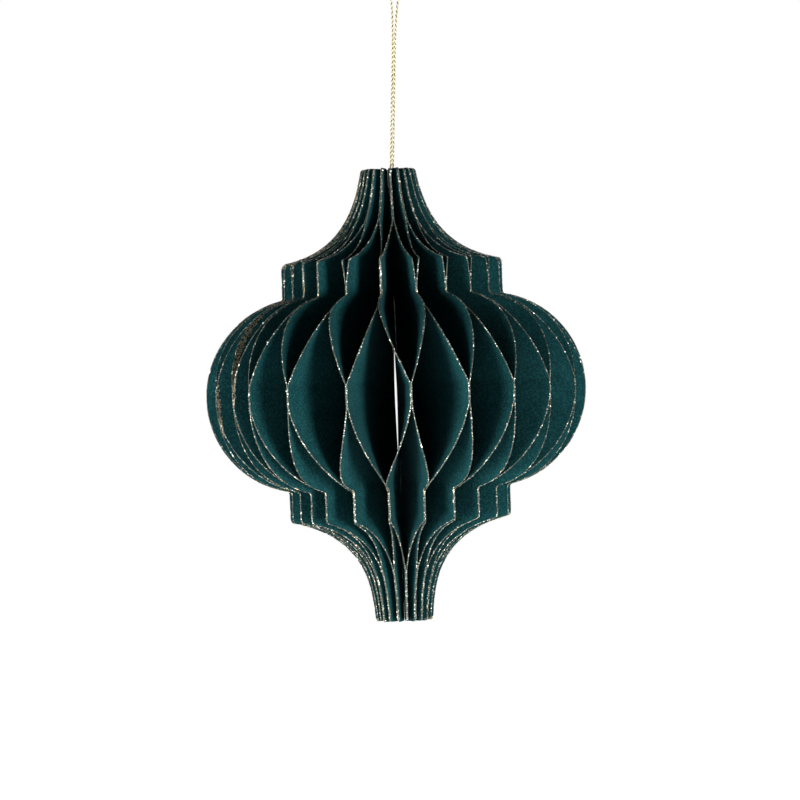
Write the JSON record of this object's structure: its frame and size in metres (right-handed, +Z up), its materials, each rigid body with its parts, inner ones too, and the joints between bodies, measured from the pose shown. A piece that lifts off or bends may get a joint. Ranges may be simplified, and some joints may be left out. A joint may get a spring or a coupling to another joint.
{
  "type": "pleated paper bauble",
  "caption": "Hanging paper bauble with a round belly, stepped shoulders and narrow necks, built of die-cut leaves glued in a honeycomb fan, with glittered edges and a thread loop.",
  "frame": {"origin": "centre of the paper body's box, on its upright axis", "axes": "+Z up along the axis towards the hanging cord, -Y to the front, +X to the right seen from the front"},
  "size_m": [0.0834, 0.0838, 0.1463],
  "materials": {
    "green_paper": "matte, coloured through, with gold glitter along the cut edge",
    "dried_glue": "clear dried glue",
    "gold_thread": "twisted metallic thread"
  },
  "bodies": {
    "root": {"leaf_01": "green_paper", "leaf_02": "green_paper", "leaf_03": "green_paper", "leaf_04": "green_paper", "leaf_05": "green_paper", "leaf_06": "green_paper", "leaf_07": "green_paper", "leaf_08": "green_paper", "leaf_09": "green_paper", "leaf_10": "green_paper", "leaf_11": "green_paper", "leaf_12": "green_paper", "leaf_13": "green_paper", "leaf_14": "green_paper", "leaf_15": "green_paper", "leaf_16": "green_paper", "leaf_17": "green_paper", "leaf_18": "green_paper", "leaf_19": "green_paper", "leaf_20": "green_paper", "leaf_21": "green_paper", "leaf_22": "green_paper", "leaf_23": "green_paper", "leaf_24": "green_paper", "leaf_25": "green_paper", "leaf_26": "green_paper", "leaf_27": "green_paper", "leaf_28": "green_paper", "leaf_29": "green_paper", "leaf_30": "green_paper", "leaf_31": "green_paper", "leaf_32": "green_paper", "leaf_33": "green_paper", "leaf_34": "green_paper", "leaf_35": "green_paper", "leaf_36": "green_paper", "leaf_37": "green_paper", "leaf_38": "green_paper", "leaf_39": "green_paper", "leaf_40": "green_paper", "leaf_41": "green_paper", "leaf_42": "green_paper", "leaf_43": "green_paper", "leaf_44": "green_paper", "leaf_45": "green_paper", "leaf_46": "green_paper", "leaf_47": "green_paper", "leaf_48": "green_paper", "upper_binding": "dried_glue", "lower_binding": "dried_glue", "hanging_cord": "gold_thread", "cord_knot": "gold_thread"}
  },
  "joints": []
}
